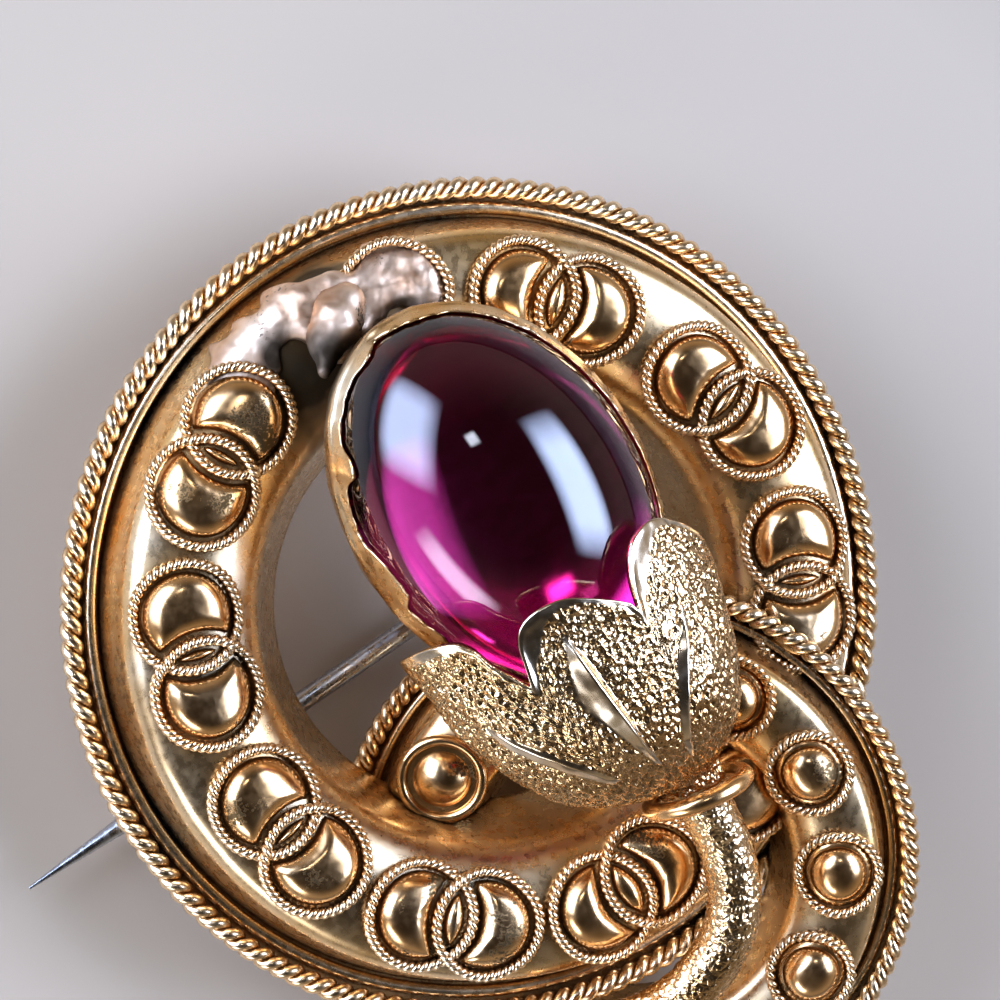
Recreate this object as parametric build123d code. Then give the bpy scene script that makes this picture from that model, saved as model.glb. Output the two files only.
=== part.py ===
from build123d import *
import math
import os

# A gold brooch: two hollow domed rings linked as a knot, with a garnet flower bud laid across them.
# +X runs along the pin towards its hinge, +Y points up as worn and +Z out of the face.
# The origin is on the axis of the closed pin, behind the middle of the large ring.
# Everything but the pin is drawn in the face frame: its origin is the middle of the large ring's back.

# Clearances
seam_gap = 0.04
running_gap = 0.04

# Vent holes in the rings' back plates
vent_radius = 0.35

# Large ring
large_hole_radius = 7.3
large_slope_radius = 13.85
large_flange_height = 0.75
large_flange_lip = 0.06
large_dome_height = 4.55
large_wall = 0.3
large_back_wall = 0.3
large_rope_radius = 0.44
large_inner_wire_radius = 0.24
large_boss_circle = 11.34
large_boss_radius = 2.1
large_boss_wire = 0.22
large_boss_dome = 0.62
large_boss_skirt = 0.85

# Small ring, leaned so that it rises over the large one at the right and dips under it at the left
small_centre_x = -0.1
small_centre_y = -11.0
small_back_height = 0.5
small_lean = 21.0
small_hole_radius = 5.2
small_slope_radius = 9.38
small_flange_height = 0.6
small_flange_lip = 0.06
small_dome_height = 3.1
small_wall = 0.25
small_back_wall = 0.3
small_rope_radius = 0.4
small_inner_wire_radius = 0.18
small_boss_circle = 7.6
small_boss_radius = 1.66
small_boss_wire = 0.2
small_boss_dome = 0.5
small_boss_skirt = 0.75
small_button_radius = 1.04
small_boss_count = 12

# Bud
bud_x = 1.5
bud_y = 3.9
bud_lean = 2.0
stone_length = 14.0
stone_width = 10.0
stone_dome = 4.3
stone_girdle = 0.5
stone_base_height = 6.6
bezel_wall = 0.35
bezel_cup_depth = 1.7
bezel_lip = 1.25
calyx_wall = 0.32
calyx_length = 9.6
calyx_half_width = 5.45
calyx_rise = 3.75
calyx_drop = 1.9
calyx_axis_height = 7.9
calyx_lip = 0.18
calyx_lip_start = 0.85
calyx_shift = -0.65
foot_distance = 12.8
foot_height = 6.9
collar_radius = 1.78
collar_wire = 0.33
collar_lean = -11.0
stem_radius = 1.0
stem_clearance = 0.2
stem_setback = 0.3
bend_share = 0.45

# Facets round and along the pieces that are cut and hammered by hand
bezel_steps = 72
calyx_steps = 96
calyx_rows = 12
repair_steps = 26
repair_rows = 14
bezel_lip_rows = (0, 0.55, 1)
crest_steps = 200

# Old repair: lumps of solder on the large ring
repair_start = 65.0
repair_end = 99.5
repair_inner_share = 0.38
repair_outer_share = 0.88
repair_thickness = 1.3
repair_edge = 0.1
repair_wave = 0.2

# Fastening on the back
pin_depth = 1.9
pin_radius = 0.38
pin_reach = 18.9
pin_taper = 5.0
pin_tip_radius = 0.05
pin_head_radius = 0.78
pin_head_width = 0.8
rivet_radius = 0.34
hinge_x = 12.6
hinge_lean = 25.0
hinge_cheek = 0.55
hinge_cheek_radius = 0.9
base_thickness = 0.4
base_length = 2.6
base_width = 3.4
catch_from_tip = 5.7
catch_length = 2.2
catch_bore = 0.62
catch_wall = 0.48
catch_mouth = 1.0
catch_neck = 0.7

# The domes' section: share of the strap's width, share of the dome's height, share of a run rounded
dome_section = [
    # across, up, rounding
    (0.000, 0.00, 0.00),
    (0.207, 0.78, 0.26),
    (0.578, 1.00, 0.70),
    (0.926, 0.82, 0.22),
    (1.000, 0.16, 0.00),
]

# The large ring's bosses, most of them in overlapping pairs: the pair's number, the turn from +X in
# degrees and the place across the strap as a share of the boss circle
large_boss_places = [
    # pair, turn, reach
    (1, 1.8, 1.000), (1, 15.2, 0.960),
    (2, 40.3, 0.970), (2, 53.1, 0.985),
    (4, 111.8, 1.025), (4, 125.6, 1.020),
    (5, 147.5, 1.000), (5, 161.8, 0.965),
    (6, 184.8, 0.955), (6, 199.5, 0.975),
    (7, 221.9, 0.990), (7, 234.5, 0.995),
    (8, 256.3, 1.010), (8, 267.9, 0.980),
    (9, 291.0, 1.000),
    (10, 324.4, 1.000), (10, 338.3, 0.990),
]

# The bezel's cup: how far in from its wall and how far up, as shares of its depth
bezel_outside = [
    # inset, height
    (0.59, 0.00), (0.26, 0.25), (0.07, 0.60),
]
bezel_inside = [
    # inset, height
    (0.21, 0.35), (0.53, 0.21),
]

# The cut edge of the bezel: place round the stone in degrees from the foot, and drop of the edge
# as a share of the lip
bezel_edge = [
    # turn, drop
    (0, 0.55), (24, 0.60), (40, 0.20), (52, 0.75), (70, 0.40), (84, 0.05), (98, 0.62),
    (116, 0.45), (134, 0.10), (150, 0.50), (166, 0.15), (180, 0.05), (196, 0.20), (214, 0.35),
    (232, 0.10), (250, 0.30), (268, 0.15), (286, 0.40), (304, 0.22), (322, 0.45), (342, 0.60),
    (360, 0.55),
]

# The three petals and the open back of the calyx: turn about the bud's axis from the top towards
# +X in degrees, and the length of the wall there as a share of the calyx
calyx_edge = [
    # turn, length
    (-180, 0.30), (-150, 0.34), (-128, 0.60), (-114, 0.90), (-103, 1.02), (-90, 1.08), (-74, 1.10),
    (-60, 1.10), (-48, 1.075), (-43, 1.025), (-40.5, 0.95), (-36.3, 0.88), (-31.8, 0.805), (-29, 0.87),
    (-26, 0.96), (-22, 1.007), (-15, 1.024), (-6.5, 1.011), (0, 0.976), (7.3, 0.916), (14.3, 0.848),
    (16.5, 0.81), (20, 0.90), (26, 0.984), (32, 1.018), (42, 1.022), (50, 0.99), (57, 0.94), (68, 0.87),
    (84, 0.77), (102, 0.58), (118, 0.44), (140, 0.34), (180, 0.30),
]

# The calyx along its axis: place along it, then its half width, rise, drop and the climb of its
# middle line from the foot, each as a share of its named size
calyx_section = [
    # along, width, rise, drop, climb
    (0.00, 0.200, 0.31, 0.60, 0.00),
    (0.08, 0.240, 0.35, 0.68, 0.03),
    (0.14, 0.430, 0.53, 0.82, 0.20),
    (0.22, 0.600, 0.69, 0.90, 0.50),
    (0.32, 0.725, 0.83, 0.96, 0.80),
    (0.45, 0.835, 0.93, 1.00, 0.96),
    (0.60, 0.935, 0.98, 1.00, 1.00),
    (0.78, 1.000, 1.00, 1.00, 1.00),
    (1.10, 1.020, 1.00, 1.00, 1.00),
]

# The repair's thickness along its length and across its width, as shares of the thickest place
repair_along = [
    # share, thickness
    (0.00, 0.10), (0.10, 0.50), (0.22, 0.42), (0.34, 0.60), (0.50, 1.00), (0.62, 0.80), (0.74, 0.55),
    (0.86, 0.70), (0.94, 0.50), (1.00, 0.10),
]
repair_across = [
    # share, thickness
    (0.00, 0.05), (0.14, 0.35), (0.34, 0.50), (0.52, 0.95), (0.66, 1.00), (0.82, 0.62), (0.94, 0.40),
    (1.00, 0.05),
]

# Two crossing ripples over the repair: waves along it and across it, in radians
repair_ripples = [
    # along, across
    (9, 7),
    (-5, 11),
]

# The stem's path after the collar: x and y in the face frame, and how far it has come down from
# above the large ring's bosses to its rest on the small ring
stem_path = [
    # x, y, fall
    (1.85, -11.9, 0.00),
    (0.65, -14.05, 0.06),
    (-1.7, -15.3, 0.30),
    (-4.0, -15.5, 0.65),
    (-6.0, -14.6, 1.00),
]


# Alignments of a box or cylinder that stands on its place or hangs from it
standing = (Align.CENTER, Align.CENTER, Align.MIN)
hanging = (Align.CENTER, Align.CENTER, Align.MAX)


def read_table(rows, place, column=1):
    """A column of a table at a place between its rows, on a smooth line through them."""
    last = len(rows) - 1
    index = max(i for i in range(last) if rows[i][0] <= place or i == 0)
    before, first, second, after = (rows[min(max(index + step, 0), last)] for step in (-1, 0, 1, 2))
    width = second[0] - first[0]
    share = min(max((place - first[0]) / width, 0), 1)
    leave = (second[column] - before[column]) / (second[0] - before[0]) * width
    arrive = (after[column] - first[column]) / (after[0] - first[0]) * width
    start, end = first[column], second[column]
    return (start + share * leave + share ** 2 * (3 * (end - start) - 2 * leave - arrive)
            + share ** 3 * (2 * (start - end) + leave + arrive))


def offset_points(points, amount):
    """The points of an open outline moved outwards by an amount, square to its runs."""
    normals = []
    for (x0, y0), (x1, y1) in zip(points, points[1:]):
        run = math.hypot(x1 - x0, y1 - y0)
        normals.append((-(y1 - y0) / run, (x1 - x0) / run))
    moved = []
    for index, (x, y) in enumerate(points):
        before = normals[max(index - 1, 0)]
        after = normals[min(index, len(normals) - 1)]
        share = amount / (1 + before[0] * after[0] + before[1] * after[1])
        moved.append((x + share * (before[0] + after[0]), y + share * (before[1] + after[1])))
    return moved


def dome_points(hole_radius, slope_radius, dome_height):
    """Corner points of a ring's dome, from its hole to the foot of its outer slope."""
    width = slope_radius - hole_radius
    return [(hole_radius + across * width, up * dome_height) for across, up, _ in dome_section]


def dome_line(hole_radius, slope_radius, dome_height, grow):
    """The rounded line of a ring's dome, moved outwards by grow."""
    points = dome_points(hole_radius, slope_radius, dome_height)
    radii = []
    for index in range(1, len(points) - 1):
        (x0, y0), (x1, y1), (x2, y2) = points[index - 1:index + 2]
        turn = math.atan2(y1 - y0, x1 - x0) - math.atan2(y2 - y1, x2 - x1)
        run = min(math.hypot(x1 - x0, y1 - y0), math.hypot(x2 - x1, y2 - y1))
        radii.append(dome_section[index][2] * run / math.tan(turn / 2) + grow)
    return FilletPolyline(*offset_points(points, grow), radius=radii)


def revolved(outline):
    """A solid turned about Z from a closed outline given as radius and height."""
    return revolve(Plane.XZ * make_face(outline), Axis.Z, 360)


def dome_body(hole_radius, slope_radius, dome_height, grow, floor):
    """The filled dome of a ring above a floor, grown outwards by an amount."""
    line = dome_line(hole_radius, slope_radius, dome_height, grow)
    start = line @ 0
    end = line @ 1
    deep = floor - dome_height
    closing = Polyline(end, (end.X, deep), (start.X, deep), start)
    body = revolved(line + closing)
    reach = 4 * slope_radius
    return body - Pos(0, 0, floor) * Box(reach, reach, 4 * dome_height, align=hanging)


def flat_ring(inner_radius, outer_radius, bottom, top):
    ring = Circle(outer_radius) - Circle(inner_radius)
    return Pos(0, 0, bottom) * extrude(ring, top - bottom)


def hollow_ring(hole_radius, slope_radius, flange_radius, flange_height, dome_height, wall, back_wall):
    """A domed front shell soldered to a flat back plate, with a vent hole in the plate."""
    shell = dome_body(hole_radius, slope_radius, dome_height, 0, 0)
    cavity = dome_body(hole_radius, slope_radius, dome_height, -wall, back_wall)
    flange = flat_ring(slope_radius - wall, flange_radius, 0, flange_height)
    vent_place = (hole_radius + slope_radius) / 2
    vent = Pos(0, vent_place, back_wall / 2) * Cylinder(vent_radius, 2 * back_wall)
    return shell + flange - cavity - vent


def inner_wire_place(slope_radius, flange_height, radius):
    """Radius and height of the thin rim wire's middle, beside the slope and on the flange."""
    return slope_radius + radius + 2 * seam_gap, flange_height + radius + seam_gap


def rope_place(inner_place, inner_radius, flange_height, radius):
    """Radius and height of the thick rim wire's middle, outside the thin one."""
    return inner_place[0] + inner_radius + seam_gap + radius, flange_height + radius + seam_gap


def rim_wire(place, radius, grow=0.0):
    return Pos(0, 0, place[1]) * Torus(place[0], radius + grow)


def boss(ring_radius, wire_radius, button_radius, dome_rise, skirt):
    """A wire ring round a polished dome, on a skirt that reaches down to the strap."""
    middle = ring_radius - wire_radius
    ball = (button_radius ** 2 + dome_rise ** 2) / (2 * dome_rise)
    dome = Pos(0, 0, dome_rise - ball) * Sphere(ball)
    dome = dome & Cylinder(button_radius, 2 * dome_rise, align=standing)
    base = Pos(0, 0, -skirt / 2) * Cylinder(middle, skirt)
    return Torus(middle, wire_radius) + base + dome


def largest(shape):
    """The largest solid of a shape that a cut may have left in several pieces."""
    return max(shape.solids(), key=lambda piece: piece.volume)


def turned(radius, angle, height):
    return Rot(0, 0, angle) * Pos(radius, 0, height)


def triangle_solid(points, triangles):
    """A closed solid from corner points and triples of their numbers."""
    faces = [Face(Wire.make_polygon([points[a], points[b], points[c]])) for a, b, c in triangles]
    return Solid(Shell(faces))


def quad(a, b, c, d):
    return [(a, b, c), (a, c, d)]


def band_solid(rows, capped):
    """A closed solid from rows of points that each run round.

    The last row joins the first, or both are closed by flat caps.
    """
    around = len(rows[0])
    points = [point for row in rows for point in row]
    triangles = []
    steps = len(rows) - 1 if capped else len(rows)
    for i in range(steps):
        following = (i + 1) % len(rows)
        for j in range(around):
            beside = (j + 1) % around
            triangles += quad(i * around + j, following * around + j,
                              following * around + beside, i * around + beside)
    if capped:
        for row, reverse in ((0, False), (len(rows) - 1, True)):
            ring = rows[row]
            points.append(tuple(sum(point[axis] for point in ring) / around for axis in range(3)))
            for j in range(around):
                corner = (row * around + j, row * around + (j + 1) % around, len(points) - 1)
                triangles.append(corner[::-1] if reverse else corner)
    return triangle_solid(points, triangles)


large_sizes = (large_hole_radius, large_slope_radius, large_dome_height)
small_sizes = (small_hole_radius, small_slope_radius, small_dome_height)
large_inner_wire_at = inner_wire_place(large_slope_radius, large_flange_height, large_inner_wire_radius)
large_rope_at = rope_place(large_inner_wire_at, large_inner_wire_radius, large_flange_height,
                           large_rope_radius)
large_flange_radius = large_rope_at[0] + large_flange_lip
small_inner_wire_at = inner_wire_place(small_slope_radius, small_flange_height, small_inner_wire_radius)
small_rope_at = rope_place(small_inner_wire_at, small_inner_wire_radius, small_flange_height,
                           small_rope_radius)
small_flange_radius = small_rope_at[0] + small_flange_lip
small_place = Pos(small_centre_x, small_centre_y, small_back_height) * Rot(0, -small_lean, 0)
bud_place = Pos(bud_x, bud_y, 0) * Rot(0, 0, bud_lean)
face_place = Pos(0, 0, pin_depth)


def ring_envelope(sizes, flange_radius, flange_height, rope_at, rope_radius, grow):
    """All of a ring as one filled solid, grown by the gap that another piece keeps from it."""
    hole_radius, slope_radius, dome_height = sizes
    body = dome_body(hole_radius, slope_radius, dome_height, grow, -grow)
    flange = flat_ring(slope_radius - grow, flange_radius + grow, -grow, flange_height + grow)
    return body + flange + rim_wire(rope_at, rope_radius, grow)


def crest_height(sizes):
    line = dome_line(*sizes, 0)
    return max((line @ (step / crest_steps)).Y for step in range(crest_steps + 1))


large_crest = crest_height(large_sizes)
small_crest = crest_height(small_sizes)
large_envelope = ring_envelope(large_sizes, large_flange_radius, large_flange_height,
                               large_rope_at, large_rope_radius, seam_gap)
small_envelope = small_place * ring_envelope(small_sizes, small_flange_radius, small_flange_height,
                                             small_rope_at, small_rope_radius, seam_gap)

nodes = {}


# Large ring
def make_large_ring():
    nodes["large_ring"] = hollow_ring(large_hole_radius, large_slope_radius, large_flange_radius,
                                      large_flange_height, large_dome_height, large_wall, large_back_wall)
    nodes["large_border_rope"] = rim_wire(large_rope_at, large_rope_radius)
    nodes["large_inner_wire"] = rim_wire(large_inner_wire_at, large_inner_wire_radius)


# The third pair lies under the old repair and is left out, and so is the boss under the small ring
def make_large_bosses():
    button = large_boss_radius - 2 * large_boss_wire
    height = large_crest + large_boss_wire
    pattern = boss(large_boss_radius, large_boss_wire, button, large_boss_dome, large_boss_skirt)
    pairs = {}
    for number, turn, reach in large_boss_places:
        placed = turned(reach * large_boss_circle, turn, height) * pattern
        pairs[number] = pairs[number] + placed if number in pairs else placed
    for number, pair in pairs.items():
        nodes[f"large_boss_pair_{number}"] = largest(pair - large_envelope - small_envelope)


# Small ring
def make_small_ring():
    ring = small_place * hollow_ring(small_hole_radius, small_slope_radius, small_flange_radius,
                                     small_flange_height, small_dome_height, small_wall, small_back_wall)
    nodes["small_ring"] = largest(ring - large_envelope)
    border = small_place * rim_wire(small_rope_at, small_rope_radius)
    nodes["small_border_rope"] = largest(border - large_envelope)
    inner = small_place * rim_wire(small_inner_wire_at, small_inner_wire_radius)
    nodes["small_inner_wire"] = largest(inner - large_envelope)


# The bosses that lie hidden where the small ring passes under the large one are left out
def make_small_bosses():
    height = small_crest + small_boss_wire
    pattern = boss(small_boss_radius, small_boss_wire, small_button_radius,
                   small_boss_dome, small_boss_skirt)
    strap = small_place * dome_body(*small_sizes, seam_gap, 0)
    for index in range(small_boss_count):
        place = small_place * turned(small_boss_circle, index * 360 / small_boss_count, height)
        distance = math.hypot(place.position.X, place.position.Y)
        if place.position.X < small_centre_x and large_hole_radius < distance < large_flange_radius:
            continue
        nodes[f"small_boss_{index + 1}"] = largest(place * pattern - strap - large_envelope)


# Garnet: an oval cabochon on a low girdle
def make_garnet():
    outline = Ellipse(stone_width / 2, stone_length / 2)
    girdle = Pos(0, 0, stone_base_height) * extrude(outline, stone_girdle)
    dome = scale(Sphere(1), by=(stone_width / 2, stone_length / 2, stone_dome))
    upper = Box(stone_width, stone_length, stone_dome, align=standing)
    dome = Pos(0, 0, stone_base_height + stone_girdle) * (dome & upper)
    nodes["garnet"] = bud_place * (girdle + dome)


def bezel_row(inset, height, edge_share):
    """One row of points round the bezel; edge_share lifts it towards the cut edge."""
    row = []
    for step in range(bezel_steps):
        turn = 360 * step / bezel_steps
        lift = edge_share * bezel_lip * (1 - read_table(bezel_edge, turn))
        lean = 1 - math.sqrt(1 - (lift / stone_dome) ** 2)
        half_x = (stone_width / 2) * (1 - lean) + seam_gap + inset
        half_y = (stone_length / 2) * (1 - lean) + seam_gap + inset
        angle = math.radians(turn)
        row.append((half_x * math.sin(angle), -half_y * math.cos(angle), height + lift))
    return row


# Bezel: a thin cup under the stone whose hand-cut edge leans in over the girdle
def make_bezel():
    bottom = stone_base_height - bezel_cup_depth
    girdle_top = stone_base_height + stone_girdle
    ledge_height = stone_base_height - seam_gap
    rows = []
    for inset, height in bezel_outside:
        rows.append(bezel_row(bezel_wall - inset * bezel_cup_depth, bottom + height * bezel_cup_depth, 0))
    rows.append(bezel_row(bezel_wall, stone_base_height, 0))
    for share in bezel_lip_rows:
        rows.append(bezel_row(bezel_wall, girdle_top, share))
    for share in reversed(bezel_lip_rows):
        rows.append(bezel_row(seam_gap if share else 0, girdle_top, share))
    rows.append(bezel_row(0, ledge_height, 0))
    rows.append(bezel_row(-bezel_wall, ledge_height, 0))
    for inset, height in bezel_inside:
        rows.append(bezel_row(-bezel_wall - inset * bezel_cup_depth, bottom + height * bezel_cup_depth, 0))
    nodes["bezel"] = bud_place * band_solid(rows, True)


def calyx_point(turn, share, inset):
    """A point on the calyx: turn about its axis, share of the wall's length there, depth in the wall."""
    along = calyx_length * share * read_table(calyx_edge, turn)
    place = along / calyx_length
    width, rise, drop, climb = (read_table(calyx_section, place, column) for column in (1, 2, 3, 4))
    lip = calyx_lip * max(0, (share - calyx_lip_start) / (1 - calyx_lip_start)) ** 2
    angle = math.radians(turn)
    half_x = calyx_half_width * width - inset + lip
    half_z = (calyx_rise * rise if abs(turn) <= 90 else calyx_drop * drop) - inset + lip
    height = foot_height + (calyx_axis_height - foot_height) * climb
    return (calyx_shift * climb + half_x * math.sin(angle), along - foot_distance,
            height + half_z * math.cos(angle))


# Calyx: a cup cut into three petals, open at the back
def make_calyx():
    shares = [step / calyx_rows for step in range(calyx_rows + 1)]
    rows = []
    for inset, order in ((0, shares), (calyx_wall, reversed(shares))):
        for share in order:
            turns = [360 * step / calyx_steps - 180 for step in range(calyx_steps)]
            rows.append([calyx_point(turn, share, inset) for turn in turns])
    nodes["calyx"] = bud_place * band_solid(rows, False)


# Collar: a smooth wire ring at the foot of the bud
def make_collar():
    place = Pos(0, -foot_distance, foot_height) * Rot(0, 0, collar_lean - bud_lean) * Rot(90, 0, 0)
    nodes["collar"] = bud_place * place * Torus(collar_radius, collar_wire)


def bend_radii(points):
    """The largest arc that each corner's two runs allow."""
    radii = []
    for before, corner, after in zip(points, points[1:], points[2:]):
        arriving = Vector(*corner) - Vector(*before)
        leaving = Vector(*after) - Vector(*corner)
        turn = math.radians(arriving.get_angle(leaving))
        radii.append(bend_share * min(arriving.length, leaving.length) / math.tan(turn / 2))
    return radii


def stem_points():
    """The stem's path from the foot of the calyx, over the large ring and down to the small one."""
    foot = (bud_place * Pos(0, -foot_distance - stem_setback, foot_height)).position
    lean = math.radians(small_lean)
    crossing = large_crest + large_boss_wire + large_boss_dome + stem_clearance + stem_radius
    boss_top = small_crest + 2 * small_boss_wire
    end_x = stem_path[-1][0]
    rest = small_back_height + (end_x - small_centre_x) * math.tan(lean)
    rest += (boss_top + stem_clearance + stem_radius) / math.cos(lean)
    points = [(foot.X, foot.Y, foot.Z)]
    for x, y, fall in stem_path:
        points.append((x, y, crossing + (rest - crossing) * fall))
    return points


# Stem: a stalk that bends over the rings and ends on the small one
def make_stem():
    points = stem_points()
    path = FilletPolyline(*points, radius=bend_radii(points))
    start = Plane(origin=path @ 0, z_dir=path % 0)
    tube = sweep(start * Circle(stem_radius), path)
    nodes["stem"] = tube + Pos(*points[-1]) * Sphere(stem_radius)


# Old repair: lumps of solder over one pair of bosses, up to the tip of the bezel
def make_repair():
    surface = dome_line(*large_sizes, seam_gap)
    rows = []
    for i in range(repair_steps + 1):
        along = i / repair_steps
        angle = math.radians(repair_start + (repair_end - repair_start) * along)
        under, over = [], []
        for j in range(repair_rows + 1):
            across = j / repair_rows
            place = repair_inner_share + (repair_outer_share - repair_inner_share) * across
            point, run = surface @ place, surface % place
            lump = read_table(repair_along, along) * read_table(repair_across, across)
            ripples = [math.sin(a * along + b * across) for a, b in repair_ripples]
            wave = 1 + repair_wave * math.prod(ripples)
            thickness = repair_edge + repair_thickness * lump * wave
            for side, depth in ((under, 0), (over, thickness)):
                radius = point.X - run.Y * depth
                height = point.Y + run.X * depth
                side.append((radius * math.cos(angle), radius * math.sin(angle), height))
        rows.append(under + over[::-1])
    nodes["repair_solder"] = band_solid(rows, True)


pin_axis = Pos(hinge_x, 0, -pin_depth) * Rot(-hinge_lean, 0, 0)
catch_x = catch_from_tip - pin_reach


def base_plate(x):
    return Pos(x, 0, -seam_gap) * Box(base_length, base_width, base_thickness, align=hanging)


# Hinge: two cheeks on a base with a rivet through them
def make_hinge():
    inner = pin_head_width / 2 + running_gap
    cheek = Rot(90, 0, 0) * Cylinder(hinge_cheek_radius, hinge_cheek)
    cheek += Box(2 * hinge_cheek_radius, hinge_cheek, 2 * pin_depth, align=standing)
    rivet = Rot(90, 0, 0) * Cylinder(rivet_radius, 2 * inner + hinge_cheek)
    body = pin_axis * rivet
    for side in (-1, 1):
        body += pin_axis * Pos(0, side * (inner + hinge_cheek / 2), 0) * cheek
    reach = 4 * pin_depth
    above = Pos(hinge_x, 0, -seam_gap) * Box(reach, reach, reach, align=standing)
    nodes["hinge"] = body - above + base_plate(hinge_x)


# Pin: a tapered stem with a pierced head on the rivet
def make_pin():
    shank_end = pin_reach - pin_taper
    shank_length = hinge_x + shank_end
    shank = Pos(-shank_length / 2, 0, 0) * Rot(0, 90, 0) * Cylinder(pin_radius, shank_length)
    taper = Rot(0, -90, 0) * Cone(pin_radius, pin_tip_radius, pin_taper)
    taper = Pos(-shank_length - pin_taper / 2, 0, 0) * taper
    head = Rot(90, 0, 0) * Cylinder(pin_head_radius, pin_head_width)
    bore = Rot(90, 0, 0) * Cylinder(rivet_radius + running_gap, 2 * pin_head_width)
    nodes["pin"] = pin_axis * (shank + taper + head - bore)


# Catch: a C-shaped hook that holds the pin, open on the side that the pin leaves by
def make_catch():
    outer = catch_bore + catch_wall
    hook = Circle(outer) - Circle(catch_bore)
    mouth = Rot(0, 0, -hinge_lean) * Pos(0, -outer) * Rectangle(catch_mouth, 2 * outer)
    neck_height = pin_depth - catch_bore - 2 * seam_gap
    neck = Pos(0, (catch_bore + pin_depth) / 2) * Rectangle(catch_neck, neck_height)
    profile = Plane.YZ * (hook - mouth + neck)
    hook = Pos(catch_x - catch_length / 2, 0, -pin_depth) * extrude(profile, catch_length)
    nodes["catch"] = hook + base_plate(catch_x)


for build in (make_large_ring, make_large_bosses, make_small_ring, make_small_bosses, make_garnet,
              make_bezel, make_calyx, make_collar, make_stem, make_repair, make_hinge, make_pin,
              make_catch):
    build()

os.makedirs("parts", exist_ok=True)
for name, shape in nodes.items():
    export_step(face_place * shape, f"parts/{name}.step")
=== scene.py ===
import bmesh
import bpy
from functools import lru_cache
from math import ceil, cos, exp, hypot, pi, radians, sin, sqrt, tan
from mathutils import Matrix, Vector, noise


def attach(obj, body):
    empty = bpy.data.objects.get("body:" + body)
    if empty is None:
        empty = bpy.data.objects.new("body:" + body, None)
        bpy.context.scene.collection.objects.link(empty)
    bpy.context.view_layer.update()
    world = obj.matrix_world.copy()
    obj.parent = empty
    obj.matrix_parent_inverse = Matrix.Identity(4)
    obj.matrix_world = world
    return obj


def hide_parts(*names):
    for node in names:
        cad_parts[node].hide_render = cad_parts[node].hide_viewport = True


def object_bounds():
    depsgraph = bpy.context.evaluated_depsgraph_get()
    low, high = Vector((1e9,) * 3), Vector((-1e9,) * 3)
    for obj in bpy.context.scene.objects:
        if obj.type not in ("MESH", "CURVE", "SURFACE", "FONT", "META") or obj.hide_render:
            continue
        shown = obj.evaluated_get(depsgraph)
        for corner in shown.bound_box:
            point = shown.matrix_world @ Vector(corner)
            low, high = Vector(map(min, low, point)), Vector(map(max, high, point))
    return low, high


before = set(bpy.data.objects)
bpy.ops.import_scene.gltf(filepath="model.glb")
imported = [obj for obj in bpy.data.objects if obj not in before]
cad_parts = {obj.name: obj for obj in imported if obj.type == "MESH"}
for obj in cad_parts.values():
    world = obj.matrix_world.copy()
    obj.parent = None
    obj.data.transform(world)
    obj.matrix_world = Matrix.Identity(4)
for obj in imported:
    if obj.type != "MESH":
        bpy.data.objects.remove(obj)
cadLow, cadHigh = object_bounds()
scene = bpy.context.scene
mm = 0.001
print("frame loaded:", len(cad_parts), "solids")

# Lengths below are millimetres in the brooch's face frame, and they become metres in makePiece
facePlace = Matrix.Translation((0, 0, 1.9))


# small helpers for tables, lines and meshes
def readTable(rows, place):
    # smooth values between two rows, one for each column after the first
    last = len(rows) - 1
    index = 0
    while index < last - 1 and rows[index + 1][0] <= place:
        index += 1
    before, first = rows[max(index - 1, 0)], rows[index]
    second, after = rows[index + 1], rows[min(index + 2, last)]
    width = second[0] - first[0]
    share = min(max((place - first[0]) / width, 0), 1)
    square = share * share
    values = []
    for column in range(1, len(first)):
        start, end = first[column], second[column]
        leave = (end - before[column]) / (second[0] - before[0]) * width
        arrive = (after[column] - start) / (after[0] - first[0]) * width
        values.append(start + share * leave + square * (3 * (end - start) - 2 * leave - arrive)
                      + square * share * (2 * (start - end) + leave + arrive))
    return values


def blendStep(low, high, value):
    share = min(max((value - low) / (high - low), 0), 1)
    return share * share * (3 - 2 * share)


def roughness(point, size, seed):
    return noise.noise(Vector(point) / size + Vector((seed, seed * 1.7, -seed)))


def turns(count):
    return [2 * pi * step / count for step in range(count)]


def spun(angle, reach=1.0, height=0.0):
    return Vector((reach * cos(angle), reach * sin(angle), height))


def roundSection(across, beside, count):
    # directions round a bar whose section lies in two others
    return [across * cos(angle) + beside * sin(angle) for angle in turns(count)]


def gridFaces(rowCount, around, closed=False):
    faces = []
    for row in range(rowCount if closed else rowCount - 1):
        below = row * around
        above = (row + 1) % rowCount * around
        for step in range(around):
            after = (step + 1) % around
            faces.append((below + step, below + after, above + after, above + step))
    return faces


def addCap(points, faces, start, around):
    # a fan over a ring of points, round their middle
    middle = [sum(points[start + step][axis] for step in range(around)) / around for axis in range(3)]
    points.append(tuple(middle))
    for step in range(around):
        faces.append((start + step, start + (step + 1) % around, len(points) - 1))


def closedBody(points, rowCount, around):
    # rows of points with a cap over the first and the last
    faces = gridFaces(rowCount, around)
    addCap(points, faces, 0, around)
    addCap(points, faces, (rowCount - 1) * around, around)
    return points, faces


def joinParts(parts):
    points, faces = [], []
    for partPoints, partFaces in parts:
        start = len(points)
        points += partPoints
        faces += [tuple(start + corner for corner in face) for face in partFaces]
    return points, faces


def newMesh(name, place, points, faces):
    mesh = bpy.data.meshes.new(name)
    mesh.from_pydata([(place @ Vector(point)) * mm for point in points], [], faces)
    sides = bmesh.new()
    sides.from_mesh(mesh)
    bmesh.ops.recalc_face_normals(sides, faces=sides.faces)
    sides.to_mesh(mesh)
    sides.free()
    return mesh


def newObject(name, data):
    made = bpy.data.objects.new(name, data)
    scene.collection.objects.link(made)
    return made


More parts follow.
